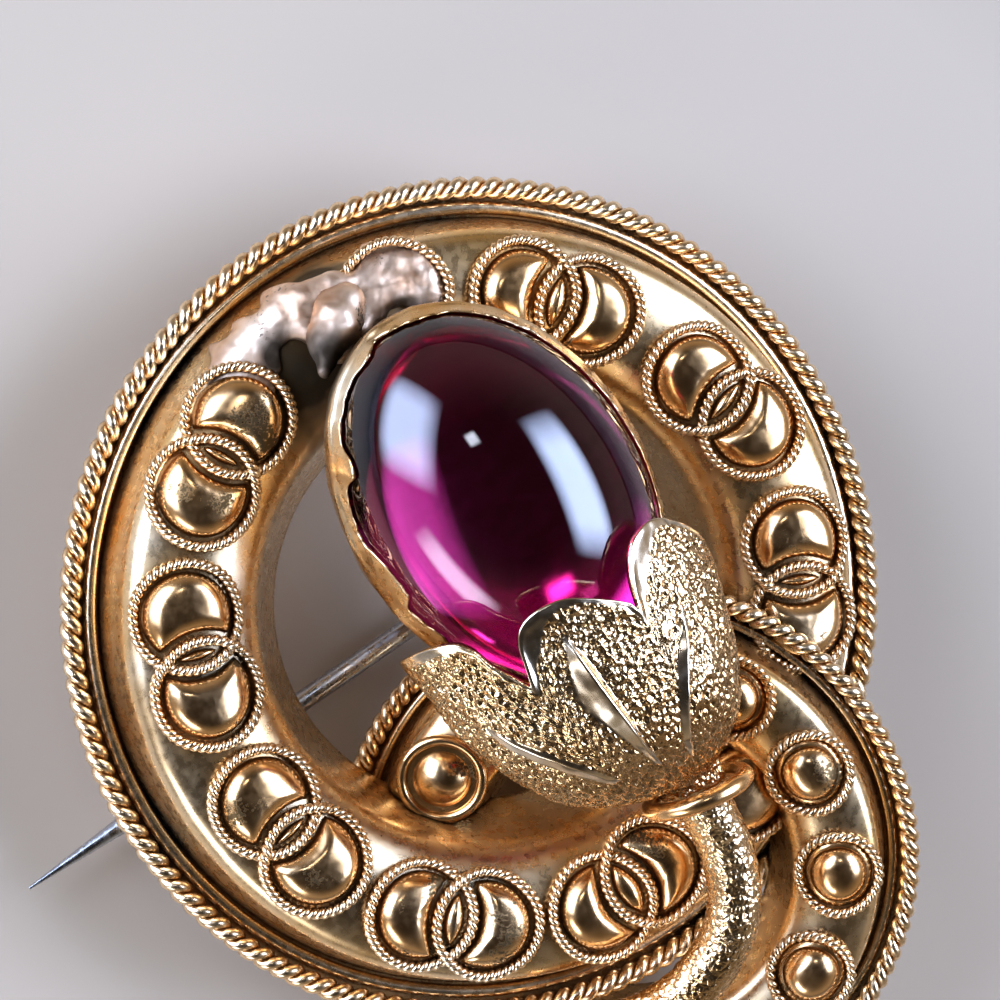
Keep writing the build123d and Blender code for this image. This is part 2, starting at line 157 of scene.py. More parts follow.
def makePiece(name, place, points, faces, material, slotName, *replaced):
    mesh = newMesh(name, place, points, faces)
    for face in mesh.polygons:
        face.use_smooth = True
    mesh.materials.append(material)
    piece = newObject(name, mesh)
    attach(piece, "root")
    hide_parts(*replaced)
    return piece


def finishSolid(name, material):
    # a solid that no piece replaces
    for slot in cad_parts[name].material_slots:
        slot.material = material


# small helpers for shader nodes
def addNode(tree, kind, inputs=None, **settings):
    made = tree.nodes.new("ShaderNode" + kind)
    for key, value in settings.items():
        setattr(made, key, value)
    for key, value in (inputs or {}).items():
        if isinstance(value, bpy.types.NodeSocket):
            tree.links.new(value, made.inputs[key])
        else:
            made.inputs[key].default_value = value
    return made


def newGroup(name, inputs, *outputs):
    # inputs by name and value, outputs by name
    tree = bpy.data.node_groups.new(name, "ShaderNodeTree")
    for label, value in inputs.items():
        kind = "Float" if isinstance(value, float) else "Color" if len(value) == 4 else "Vector"
        socket = tree.interface.new_socket(name=label, in_out="INPUT", socket_type="NodeSocket" + kind)
        socket.default_value = value
    for label in outputs:
        kind = "Color" if label == "Color" else "Float"
        tree.interface.new_socket(name=label, in_out="OUTPUT", socket_type="NodeSocket" + kind)
    enter = tree.nodes.new("NodeGroupInput")
    leave = tree.nodes.new("NodeGroupOutput")
    return tree, enter.outputs, leave.inputs


def objectPlace(tree):
    return addNode(tree, "TexCoord").outputs["Object"]


def noiseAt(tree, place, scale, detail=2.0, **settings):
    inputs = {"Vector": place, "Scale": scale, "Detail": detail, **settings}
    return addNode(tree, "TexNoise", inputs).outputs["Fac"]


def useGroup(tree, group, **inputs):
    made = tree.nodes.new("ShaderNodeGroup")
    made.node_tree = group
    for key, value in inputs.items():
        socket = made.inputs[key]
        if isinstance(value, bpy.types.NodeSocket):
            tree.links.new(value, socket)
        else:
            socket.default_value = value
    return made.outputs


def mixColor(tree, factor, first, second):
    return addNode(tree, "Mix", {0: factor, 6: first, 7: second}, data_type="RGBA").outputs[2]


def ramp(tree, value, low, high, toLow=0.0, toHigh=1.0):
    return addNode(tree, "MapRange", {0: value, 1: low, 2: high, 3: toLow, 4: toHigh}).outputs[0]


def combine(tree, kind, first, second):
    return addNode(tree, "Math", {0: first, 1: second}, operation=kind).outputs[0]


def plus(tree, first, second):
    return combine(tree, "ADD", first, second)


def times(tree, first, second):
    return combine(tree, "MULTIPLY", first, second)


# effects shared by several finishes
def recessTarnishGroup():
    # brown stain in corners, and black painted shade where they are deepest
    inputs = {"Reach": 0.0008, "Tarnish": 1.0, "Soot": 1.0, "Breakup": 900.0}
    tree, enter, leave = newGroup("recess tarnish", inputs, "Stain", "Dirt")
    near = addNode(tree, "AmbientOcclusion", {"Distance": enter["Reach"]}, samples=1)
    patches = noiseAt(tree, objectPlace(tree), enter["Breakup"])
    hidden = combine(tree, "SUBTRACT", 1.0, near.outputs["AO"])
    hidden = times(tree, hidden, ramp(tree, patches, 0.3, 0.7, 0.75, 1.25))
    stain = times(tree, hidden, enter["Tarnish"])
    tree.links.new(ramp(tree, stain, 0.10, 0.75), leave["Stain"])
    # black painted shade where the corners are deepest
    dirt = times(tree, hidden, enter["Soot"])
    tree.links.new(ramp(tree, dirt, 0.5, 1.0), leave["Dirt"])
    return tree


def toneDriftGroup():
    # a second tone in soft clouds
    inputs = {"Main": (1, 1, 1, 1), "Other": (1, 1, 1, 1), "Scale": 250.0, "Share": 0.5}
    tree, enter, leave = newGroup("tone drift", inputs, "Color")
    clouds = noiseAt(tree, objectPlace(tree), enter["Scale"], 3.0, Roughness=0.6)
    spread = ramp(tree, clouds, 0.35, 0.68)
    factor = times(tree, spread, enter["Share"])
    tree.links.new(mixColor(tree, factor, enter["Main"], enter["Other"]), leave["Color"])
    return tree


def handPolishGroup():
    # fine rubbing marks, faint hammering and a few pits
    inputs = {"Marks": 1.0, "Waves": 1.0, "Pits": 1.0}
    tree, enter, leave = newGroup("hand polish", inputs, "Height", "Rubbed")
    place = objectPlace(tree)
    marks = noiseAt(tree, place, 2600.0)
    waves = noiseAt(tree, place, 520.0, 1.0)
    pits = addNode(tree, "TexVoronoi", {"Vector": place, "Scale": 1500.0})
    pitDepth = ramp(tree, pits.outputs["Distance"], 0.0, 0.22, -0.25, 0.0)
    total = times(tree, times(tree, marks, 0.12), enter["Marks"])
    total = plus(tree, total, times(tree, waves, enter["Waves"]))
    total = plus(tree, total, times(tree, pitDepth, enter["Pits"]))
    tree.links.new(total, leave["Height"])
    tree.links.new(ramp(tree, marks, 0.35, 0.65), leave["Rubbed"])
    return tree


def granulesGroup():
    # crowded pricked grains of gold, with creases between them
    tree, enter, leave = newGroup("granules", {"Scale": 3300.0}, "Height", "Crease")
    place = objectPlace(tree)
    cells = {"Vector": place, "Scale": enter["Scale"]}
    gaps = addNode(tree, "TexVoronoi", cells, feature="DISTANCE_TO_EDGE").outputs["Distance"]
    crease = ramp(tree, gaps, 0.0, 0.22, 1.0, 0.0)
    fine = noiseAt(tree, place, 7000.0, 3.0)
    total = combine(tree, "SUBTRACT", times(tree, fine, 0.6), crease)
    tree.links.new(total, leave["Height"])
    tree.links.new(crease, leave["Crease"])
    return tree


def tarnishSpotsGroup():
    # crowded black specks that gather in a few patches
    tree, enter, leave = newGroup("tarnish spots", {"Scale": 700.0, "Amount": 1.0}, "Mask")
    place = objectPlace(tree)
    gathered = ramp(tree, noiseAt(tree, place, enter["Scale"], 1.0), 0.56, 0.76)
    specks = ramp(tree, noiseAt(tree, place, 7500.0), 0.3, 0.7, -0.5, 0.5)
    speckled = plus(tree, gathered, specks)
    tree.links.new(times(tree, ramp(tree, speckled, 0.5, 0.85), enter["Amount"]), leave["Mask"])
    return tree


def scorchGroup():
    # soot and painted shadow round one place, with a broken edge
    inputs = {"Middle": (0, 0, 0), "Reach": 0.002, "Edge": 0.5}
    tree, enter, leave = newGroup("scorch", inputs, "Mask")
    ends = {0: objectPlace(tree), 1: enter["Middle"]}
    away = addNode(tree, "VectorMath", ends, operation="DISTANCE").outputs["Value"]
    near = combine(tree, "DIVIDE", away, enter["Reach"])
    tree.links.new(ramp(tree, plus(tree, near, enter["Edge"]), 0.95, 1.55, 1.0, 0.0), leave["Mask"])
    return tree


recessTarnish = recessTarnishGroup()
scorch = scorchGroup()
tarnishSpots = tarnishSpotsGroup()
toneDrift = toneDriftGroup()
handPolish = handPolishGroup()
granules = granulesGroup()
print("effects built")


# finishes
def newMaterial(name):
    material = bpy.data.materials.new(name)
    material.use_nodes = True
    tree = material.node_tree
    return material, tree, tree.nodes["Principled BSDF"]


def goldFinish(name, **changes):
    look = {**goldLook, **changes}
    material, tree, shader = newMaterial(name)
    tone = useGroup(tree, toneDrift, Main=look["main"], Other=look["other"], Scale=look["toneScale"],
                    Share=look["toneShare"])["Color"]
    tarnish = useGroup(tree, recessTarnish, Reach=look["reach"], Tarnish=look["tarnish"], Soot=look["soot"],
                       Breakup=look["breakup"])
    polish = useGroup(tree, handPolish, Marks=look["marks"], Waves=look["waves"], Pits=look["pits"])
    color = mixColor(tree, tarnish["Stain"], tone, look["stain"])
    # black painted shade in the deepest recesses; the tarnish specks and the patches of soot and painted
    # shadow join it below
    dirt = tarnish["Dirt"]
    height = polish["Height"]
    if look["grain"]:
        grain = useGroup(tree, granules, Scale=look["grainScale"])
        color = mixColor(tree, times(tree, grain["Crease"], 0.12), color, look["stain"])
        height = plus(tree, height, times(tree, grain["Height"], look["grain"]))
    if look["spots"]:
        black = useGroup(tree, tarnishSpots, Scale=look["spotScale"], Amount=look["spots"])["Mask"]
        dirt = combine(tree, "MAXIMUM", dirt, black)
    # dark patches round a few places: partly soot, partly painted shadow where shade falls by the old
    # repair
    if look["burns"]:
        broken = noiseAt(tree, objectPlace(tree), 700.0)
    for middle, reach in look["burns"]:
        middle = [side * mm for side in middle]
        burn = useGroup(tree, scorch, Middle=middle, Reach=reach * mm, Edge=broken)["Mask"]
        dirt = combine(tree, "MAXIMUM", dirt, times(tree, burn, 0.9))
    tree.links.new(mixColor(tree, dirt, color, look["dirt"]), shader.inputs["Base Color"])
    shine = ramp(tree, polish["Rubbed"], 0.0, 1.0, look["roughness"] * 0.85, look["roughness"] * 1.15)
    dull = plus(tree, shine, times(tree, tarnish["Stain"], 0.12))
    tree.links.new(plus(tree, dull, times(tree, dirt, 0.35)), shader.inputs["Roughness"])
    shader.inputs["Metallic"].default_value = 1.0
    bump = addNode(tree, "Bump", {"Height": height, "Distance": look["bump"] * mm})
    tree.links.new(bump.outputs[0], shader.inputs["Normal"])
    return material


# the darkest colour below paints shade in the deepest recesses, and also colours the tarnish specks and
# soot patches
goldLook = {
    "main": (0.93, 0.55, 0.24, 1), "other": (0.95, 0.68, 0.40, 1), "toneScale": 200.0, "toneShare": 0.6,
    "stain": (0.58, 0.24, 0.05, 1), "dirt": (0.05, 0.03, 0.014, 1), "reach": 0.0010,
    "tarnish": 0.7, "soot": 0.75, "breakup": 420.0, "roughness": 0.26, "bump": 0.008,
    "marks": 0.5, "waves": 0.5, "pits": 0.0, "grain": 0.0, "grainScale": 3900.0,
    "spots": 0.0, "spotScale": 650.0, "burns": [],
}
strapGold = goldFinish(
    "strap gold", main=(0.86, 0.55, 0.23, 1), other=(0.95, 0.77, 0.53, 1), toneShare=0.9, roughness=0.28,
    soot=0.8, waves=0.35, breakup=200.0, stain=(0.50, 0.24, 0.07, 1), dirt=(0.008, 0.005, 0.003, 1),
    # soot and painted shadow on the strap round the old repair
    burns=[((-1.7, 11.0, 6.2), 3.2), ((0.2, 14.2, 5.8), 2.6), ((3.0, 10.4, 6.2), 1.8)])
bossGold = goldFinish("boss gold", roughness=0.22, waves=0.6, bump=0.012, spots=0.85, reach=0.0005,
                      dirt=(0.028, 0.026, 0.012, 1))
wireGold = goldFinish("wire gold", main=(0.96, 0.68, 0.39, 1), other=(0.98, 0.83, 0.61, 1), reach=0.0004,
                      tarnish=0.9, waves=0.2)
prickedGold = goldFinish(
    "pricked gold", main=(0.66, 0.38, 0.15, 1), other=(0.92, 0.68, 0.40, 1), toneScale=160.0, toneShare=1.0,
    roughness=0.2, reach=0.0003, tarnish=1.2, soot=1.0, stain=(0.26, 0.11, 0.03, 1), grain=0.7,
    grainScale=4400.0, bump=0.014)
plainGold = goldFinish("plain gold", roughness=0.24, waves=0.8, pits=0.3, bump=0.02)
bezelGold = goldFinish(
    "bezel gold", main=(0.70, 0.40, 0.14, 1), other=(0.95, 0.76, 0.50, 1), toneScale=300.0, toneShare=1.0,
    # soot and painted shadow on the bezel beside the repair
    roughness=0.28, tarnish=1.0, waves=1.0, pits=0.3, bump=0.02, burns=[((-1.4, 10.4, 7.4), 2.0)])
foldGold = goldFinish(
    "fold gold", main=(0.84, 0.62, 0.38, 1), other=(0.97, 0.88, 0.72, 1), toneScale=300.0, toneShare=1.0,
    roughness=0.2, reach=0.0005, stain=(0.30, 0.14, 0.04, 1), waves=0.8, pits=0.3, bump=0.02)
fastenerGold = goldFinish("fastener gold", main=(0.70, 0.42, 0.19, 1), roughness=0.3, pits=1.0)
solderGray = goldFinish(
    "old solder", main=(0.60, 0.36, 0.21, 1), other=(0.97, 0.77, 0.58, 1), toneScale=420.0, toneShare=1.0,
    stain=(0.16, 0.08, 0.03, 1), reach=0.0014, tarnish=1.3, soot=1.1, roughness=0.48, waves=1.4,
    dirt=(0.020, 0.015, 0.008, 1), marks=2.0, pits=0.3, bump=0.05, spots=0.7, spotScale=450.0,
    # soot and painted shadow on the solder
    burns=[((2.6, 10.7, 6.9), 1.3), ((-0.9, 11.1, 7.5), 1.3), ((-2.0, 12.0, 6.4), 1.1)])
foilSilver = goldFinish("foil behind the stone", main=(0.95, 0.90, 0.93, 1), other=(0.90, 0.84, 0.88, 1),
                        tarnish=0.0, soot=0.0, roughness=0.12, waves=1.2)


def garnetFinish():
    material, tree, shader = newMaterial("garnet")
    shader.inputs["Base Color"].default_value = (0.95, 0.40, 0.78, 1)
    shader.inputs["Metallic"].default_value = 0.0
    shader.inputs["Transmission Weight"].default_value = 1.0
    shader.inputs["IOR"].default_value = 1.76
    rub = useGroup(tree, handPolish, Waves=0.0, Pits=0.0)["Rubbed"]
    tree.links.new(ramp(tree, rub, 0.0, 1.0, 0.01, 0.05), shader.inputs["Roughness"])
    inside = addNode(tree, "VolumeAbsorption", {"Color": (0.86, 0.30, 0.60, 1), "Density": 340.0})
    tree.links.new(inside.outputs[0], tree.nodes["Material Output"].inputs["Volume"])
    return material


def steelFinish():
    material, tree, shader = newMaterial("pin steel")
    shader.inputs["Metallic"].default_value = 1.0
    tones = {"Main": (0.62, 0.64, 0.68, 1), "Other": (0.50, 0.50, 0.52, 1), "Scale": 400.0, "Share": 0.8}
    tree.links.new(useGroup(tree, toneDrift, **tones)["Color"], shader.inputs["Base Color"])
    polish = useGroup(tree, handPolish, Marks=1.6, Waves=0.0, Pits=0.6)
    tree.links.new(ramp(tree, polish["Rubbed"], 0.0, 1.0, 0.18, 0.34), shader.inputs["Roughness"])
    bump = addNode(tree, "Bump", {"Height": polish["Height"], "Distance": 0.01 * mm})
    tree.links.new(bump.outputs[0], shader.inputs["Normal"])
    return material


def floorFinish():
    # a floor painted as a pool of light: pale under the brooch and painted dark far from it
    material, tree, shader = newMaterial("pale floor")
    tones = {"Main": (0.46, 0.37, 0.27, 1), "Other": (0.44, 0.355, 0.26, 1), "Scale": 30.0, "Share": 0.6}
    pale = useGroup(tree, toneDrift, **tones)["Color"]
    away = addNode(tree, "VectorMath", {0: objectPlace(tree)}, operation="LENGTH").outputs["Value"]
    # painted falloff of light: the floor goes dark away from the brooch
    far = ramp(tree, away, 0.028, 0.075)
    tree.links.new(mixColor(tree, far, pale, (0.07, 0.055, 0.04, 1)), shader.inputs["Base Color"])
    shader.inputs["Roughness"].default_value = 0.7
    return material


garnetRed = garnetFinish()
pinSteel = steelFinish()
print("finishes built")

# the two rings: a domed strap with a flange for the rim wires
domeSection = [
    # shares of the strap's width and height, and of the shorter run at the corner: across, up, rounding
    (0.000, 0.00, 0.00),
    (0.207, 0.78, 0.26),
    (0.578, 1.00, 0.70),
    (0.926, 0.82, 0.22),
    (1.000, 0.16, 0.00),
]
largeRing = {
    "place": facePlace, "hole": 7.3, "slope": 13.85, "dome": 4.55, "flange": 0.75, "lip": 0.06,
    "innerWire": 0.24, "borderWire": 0.44, "borderTwists": 72,
    "slack": 0.02, "dent": 0.05, "wave": 0.012, "vent": 0.35, "ventReach": (-1.0, 1.6),
    "segments": 288, "step": 0.3, "seed": 3.1,
}
smallRing = {
    "at": (-0.1, -11.0, 0.5), "lean": 21,
    "hole": 5.2, "slope": 9.38, "dome": 3.1, "flange": 0.6, "lip": 0.06,
    "innerWire": 0.18, "borderWire": 0.4, "borderTwists": 56,
    "slack": 0.02, "dent": 0.04, "wave": 0.01, "vent": 0.35, "ventReach": (-1.0, 1.6),
    "segments": 224, "step": 0.3, "seed": 8.4,
}
smallLean = Matrix.Rotation(-radians(smallRing["lean"]), 4, "Y")
smallRing["place"] = facePlace @ Matrix.Translation(smallRing["at"]) @ smallLean
seam = 0.04  # gap between loose pieces


def domeLine(ring, arcSteps=9):
    width = ring["slope"] - ring["hole"]
    corners = [Vector((ring["hole"] + across * width, up * ring["dome"])) for across, up, _ in domeSection]
    line = [corners[0]]
    for index in range(1, len(corners) - 1):
        before, corner, after = corners[index - 1:index + 2]
        cut = domeSection[index][2] * min((before - corner).length, (after - corner).length)
        back = (before - corner).normalized()
        onward = (after - corner).normalized()
        turn = pi - back.angle(onward)
        middle = corner + (back + onward).normalized() * cut / tan(turn / 2) / cos(turn / 2)
        first = corner + back * cut - middle
        last = corner + onward * cut - middle
        for step in range(arcSteps + 1):
            share = step / arcSteps
            line.append(middle + first * sin((1 - share) * turn) / sin(turn)
                        + last * sin(share * turn) / sin(turn))
    line.append(corners[-1])
    return line


def fillLine(line, longest):
    filled = [line[0]]
    for first, second in zip(line, line[1:]):
        count = max(1, ceil((second - first).length / longest))
        filled += [first.lerp(second, step / count) for step in range(1, count + 1)]
    return filled


for ring in (largeRing, smallRing):
    ring["line"] = domeLine(ring)
    ring["crest"] = max(point.y for point in ring["line"])
    inner, border = ring["innerWire"], ring["borderWire"]
    ring["innerAt"] = (ring["slope"] + inner + 2 * seam, ring["flange"] + inner + seam)
    ring["borderAt"] = (ring["innerAt"][0] + inner + seam + border, ring["flange"] + border + seam)
    ring["outer"] = ring["borderAt"][0] + ring["lip"]


def strapHeight(ring, radius):
    line = ring["line"]
    for first, second in zip(line, line[1:]):
        if first.x <= radius <= second.x:
            return first.y + (second.y - first.y) * (radius - first.x) / max(second.x - first.x, 1e-6)
    return 0.0


def ringShape(ring):
    line = fillLine(ring["line"], ring["step"])
    domeCount = len(line)
    flange, outer, hole = ring["flange"], ring["outer"], ring["hole"]
    edge = ring["lip"]
    rim = [
        (ring["slope"] + 0.05, flange), (outer - 2 * edge, flange), (outer - edge, flange),
        (outer - 0.3 * edge, flange - 0.3 * edge), (outer, flange - edge), (outer, flange - 2 * edge),
        (outer, 2 * edge), (outer, edge), (outer - 0.3 * edge, 0.3 * edge), (outer - edge, 0),
        (outer - 2 * edge, 0), ((hole + outer) / 2, 0), (hole + 2 * edge, 0), (hole + edge, 0),
    ]
    line = [Vector((hole, edge))] + line[1:] + [Vector(corner) for corner in rim]
    points = []
    for angle in turns(ring["segments"]):
        for index, (radius, height) in enumerate(line):
            if 2 < index < domeCount - 1:
                run = line[index + 1] - line[index - 1]
                normal = Vector((-run.y, run.x)).normalized()
                spot = spun(angle, radius, height)
                dent = 3 * ring["dent"] * max(0.0, roughness(spot, 3.4, ring["seed"]) - 0.25)
                push = ring["wave"] * roughness(spot, 1.3, ring["seed"] + 5) - dent
                push *= blendStep(2, 6, index)
                radius += normal.x * push
                height += normal.y * push
            points.append(spun(angle, radius, height))
    return points, gridFaces(ring["segments"], len(line), True)


def boreVent(piece, ring):
    # a vent hole in the back plate, deep enough to look dark
    middle = Vector((0, (ring["hole"] + ring["slope"]) / 2, 0))
    around = 32
    points = [middle + spun(angle, ring["vent"], height)
              for height in ring["ventReach"] for angle in turns(around)]
    bore = newMesh("ventBore", ring["place"], *closedBody(points, 2, around))
    cutAway(piece, newObject("ventBore", bore))


def cutAway(piece, tool):
    cut = piece.modifiers.new("cut", "BOOLEAN")
    cut.operation = "DIFFERENCE"
    cut.solver = "EXACT"
    cut.object = tool
    depsgraph = bpy.context.evaluated_depsgraph_get()
    mesh = bpy.data.meshes.new_from_object(piece.evaluated_get(depsgraph))
    piece.modifiers.clear()
    old = piece.data
    piece.data = mesh
    bpy.data.meshes.remove(old)
    bpy.data.objects.remove(tool)


# twisted wire: two strands round one line
strandShare = 0.52


def twistedWire(route, wire, twists, perTwist, sides, closed=True):
    strand = wire * strandShare
    total = int(twists * perTwist)
    parts = []
    for which in (0, 1):
        centres, reaches = [], []
        for step in range(total if closed else total + 1):
            share = step / total
            middle, outward, upward = route(share)
            phase = 2 * pi * (twists * share + which / 2)
            reach = outward * cos(phase) + upward * sin(phase)
            centres.append(middle + reach * (wire - strand))
            reaches.append(reach)
        points = []
        count = len(centres)
        for index, centre in enumerate(centres):
            before = centres[(index - 1) % count] if closed else centres[max(index - 1, 0)]
            after = centres[(index + 1) % count] if closed else centres[min(index + 1, count - 1)]
            along = (after - before).normalized()
            across = (reaches[index] - along * reaches[index].dot(along)).normalized()
            points += [centre + side * strand for side in roundSection(across, along.cross(across), sides)]
        if closed:
            parts.append((points, gridFaces(count, sides, True)))
        else:
            parts.append(closedBody(points, count, sides))
    return joinParts(parts)


def rimRoute(at, seed=0.0, loose=0.02):
    radius, height = at

    def route(share):
        outward = spun(2 * pi * share)
        drift = loose * noise.noise(outward * 4 + Vector((seed, 0, 0)))
        lift = loose * noise.noise(outward * 5 + Vector((0, seed, 0)))
        return outward * (radius + drift) + Vector((0, 0, height + lift)), outward, Vector((0, 0, 1))
    return route


def roundWire(route, wire, count, sides, swell=0.0):
    points = []
    for step in range(count):
        middle, outward, upward = route(step / count)
        thick = wire * (1 + swell * noise.noise(outward * 3))
        points += [middle + side * thick for side in roundSection(outward, upward, sides)]
    return points, gridFaces(count, sides, True)


def addRims(prefix, ring):
    route = rimRoute(ring["borderAt"], ring["seed"])
    wire = ring["borderWire"] - ring["slack"]
    rope = twistedWire(route, wire, ring["borderTwists"], perTwist=12, sides=10)
    makePiece(prefix + "BorderRope", ring["place"], *rope, wireGold, "gold", prefix + "_border_rope")
    wire = roundWire(rimRoute(ring["innerAt"], ring["seed"] + 2), ring["innerWire"], count=300, sides=16)
    makePiece(prefix + "InnerWire", ring["place"], *wire, wireGold, "gold", prefix + "_inner_wire")


def addRing(prefix, ring, linked=False):
    strap = makePiece(prefix + "Ring", ring["place"], *ringShape(ring), strapGold, "gold", prefix + "_ring")
    boreVent(strap, ring)
    if linked:
        cutAway(strap, largeEnvelope())
    addRims(prefix, ring)
    print(prefix, "ring built")


def largeEnvelope():
    # the large ring and its border grown by the gap that the small ring keeps from them
    ring = largeRing
    gap = seam * 1.2
    corners = ring["line"]
    grown = []
    for index, corner in enumerate(corners):
        run = corners[min(index + 1, len(corners) - 1)] - corners[max(index - 1, 0)]
        grown.append(corner + Vector((-run.y, run.x)).normalized() * gap)
    radius, height = ring["borderAt"]
    wire = ring["borderWire"] + gap
    grown.append(Vector((ring["slope"] + gap, ring["flange"] + gap)))
    grown.append(Vector((radius - wire * 0.9, ring["flange"] + gap)))
    grown += [Vector((radius, height)) + spun(radians(160 - 15 * step), wire).xy for step in range(13)]
    grown.append(Vector((ring["outer"] + gap, ring["flange"])))
    grown.append(Vector((ring["outer"] + gap, -gap)))
    grown.append(Vector((ring["hole"] - gap, -gap)))
    around = 240
    points = [spun(angle, corner.x, corner.y) for angle in turns(around) for corner in grown]
    mesh = newMesh("envelope", ring["place"], points, gridFaces(around, len(grown), True))
    return newObject("envelope", mesh)


addRing("large", largeRing)
addRing("small", smallRing, True)

# bosses: twisted rings draped over the strap, with polished pillows inside
largeBosses = {
    "circle": 11.34, "radius": 2.1, "wire": 0.21, "dome": 0.56, "inset": 0.1, "slope": 0.62, "crown": 0.12,
    "twists": 22, "drape": 0.4, "crossing": 0.16, "start": 0.45, "wobble": 0.018,
    "eye": (0.24, 0.4, 0.04),  # rise, slope and crown where both circles overlap
    # pair: turn and reach of its bosses
    "pairs": {
        1: [(1.8, 1.000), (15.2, 0.960)],
        2: [(40.3, 0.970), (53.1, 0.985)],
        4: [(111.8, 1.025), (125.6, 1.020)],
        5: [(147.5, 1.000), (161.8, 0.965)],
        6: [(184.8, 0.955), (199.5, 0.975)],
        7: [(221.9, 0.990), (234.5, 0.995)],
        8: [(256.3, 1.010), (267.9, 0.980)],
        9: [(291.0, 1.000)],
        10: [(324.4, 1.000), (338.3, 0.990)],
    },
}
smallBosses = {
    # rise, slope and crown of the dish and of the button in it
    "dish": (0.08, 0.1, 0.02), "dome": (0.5, 0.7, 0.08), "button": 1.04,
    "circle": 7.6, "radius": 1.66, "wire": 0.2, "twists": 16, "drape": 0.3, "wobble": 0.018,
    "count": 12, "whole": (1, 2, 3, 4, 10, 11, 12), "cut": (8, 9), "kept": "small_boss_5",
}


def drapeHeight(ring, sizes, x, y):
    height = strapHeight(ring, hypot(x, y))
    return max(height, ring["crest"] - sizes["drape"])


def bossRoute(ring, sizes, centre, seed, partner=None):
    middle = sizes["radius"] - sizes["wire"]
    x, y = centre

    def route(share):
        outward = spun(2 * pi * share)
        spread = middle * (1 + sizes["wobble"] * noise.noise(outward * 1.5 + Vector((seed, 0, 0))))
        px, py = x + spread * outward.x, y + spread * outward.y
        height = drapeHeight(ring, sizes, px, py) + sizes["wire"]
        if partner:
            reach = hypot(px - partner[0], py - partner[1])
            height += sizes["crossing"] * (1 - blendStep(0.0, 0.75, abs(reach - middle)))
        return Vector((px, py, height)), outward, Vector((0, 0, 1))
    return route


def pillow(ring, sizes, centre, inside, outside, rise, slope, crown, rings=14, around=60):
    # a polished dome inside some circles and outside others: it climbs steeply from its outline
    x, y = centre
    skirt = 0.3  # how far it goes down into the strap

    def edgeReach(ux, uy):
        best = 10.0
        for sign, circles in ((1, inside), (-1, outside)):
            for cx, cy, radius in circles:
                dx, dy = cx - x, cy - y
                along = dx * ux + dy * uy
                under = along ** 2 - dx * dx - dy * dy + radius ** 2
                if under > 0 and (sign > 0 or along > 0):
                    best = min(best, along + sign * sqrt(under))
        return max(best, 0.02)

    def domeHeight(px, py, share):
        deep = min([radius - hypot(px - cx, py - cy) for cx, cy, radius in inside]
                   + [hypot(px - cx, py - cy) - radius for cx, cy, radius in outside])
        climb = 1 - min(max(deep, 0) / slope, 1)
        height = drapeHeight(ring, sizes, px, py) + rise * sqrt(1 - climb ** 2)
        return height + crown * (1 - share ** 2)

    points = [(x, y, domeHeight(x, y, 0))]
    for row in range(1, rings + 1):
        share = sin(pi / 2 * row / rings)
        for angle in turns(around):
            ux, uy = cos(angle), sin(angle)
            reach = share * edgeReach(ux, uy)
            px, py = x + reach * ux, y + reach * uy
            points.append((px, py, domeHeight(px, py, share)))
    last = 1 + (rings - 1) * around
    points += [(px, py, height - skirt) for px, py, height in points[last:last + around]]
    faces = [(0, 1 + step, 1 + (step + 1) % around) for step in range(around)]
    for row in range(rings):
        start = 1 + row * around
        for step in range(around):
            after = (step + 1) % around
            faces.append((start + step, start + around + step, start + around + after, start + after))
    addCap(points, faces, 1 + rings * around, around)
    return points, faces


def addLargeBosses():
    sizes, ring = largeBosses, largeRing
    clear = sizes["radius"] - 2 * sizes["wire"]
    for number, places in sizes["pairs"].items():
        centres = [tuple(spun(radians(turn), reach * sizes["circle"]).xy) for turn, reach in places]
        wires, domes = [], []
        for index, centre in enumerate(centres):
            partner = centres[1 - index] if len(centres) == 2 else None
            lifted = partner if index else None
            route = bossRoute(ring, sizes, centre, number + index / 2, lifted)
            wires.append(twistedWire(route, sizes["wire"], sizes["twists"], perTwist=10, sides=8))
            rise = sizes["dome"] * (0.94 + 0.08 * sin(5 * number + 3 * index))
            own = [(*centre, clear - sizes["inset"])]
            start, others = centre, []
            if partner:
                dx, dy = centre[0] - partner[0], centre[1] - partner[1]
                apart = hypot(dx, dy)
                start = (centre[0] + sizes["start"] * dx / apart, centre[1] + sizes["start"] * dy / apart)
                others = [(*partner, sizes["radius"] + sizes["inset"])]
            domes.append(pillow(ring, sizes, start, own, others, rise, sizes["slope"], sizes["crown"]))
        if len(centres) == 2:
            middle = ((centres[0][0] + centres[1][0]) / 2, (centres[0][1] + centres[1][1]) / 2)
            both = [(*centre, clear - sizes["inset"]) for centre in centres]
            domes.append(pillow(ring, sizes, middle, both, [], *sizes["eye"], 8, 40))
        node = f"large_boss_pair_{number}"
        makePiece(f"largeBossWires{number}", ring["place"], *joinParts(wires), wireGold, "gold", node)
        makePiece(f"largeBossDomes{number}", ring["place"], *joinParts(domes), bossGold, "gold", node)


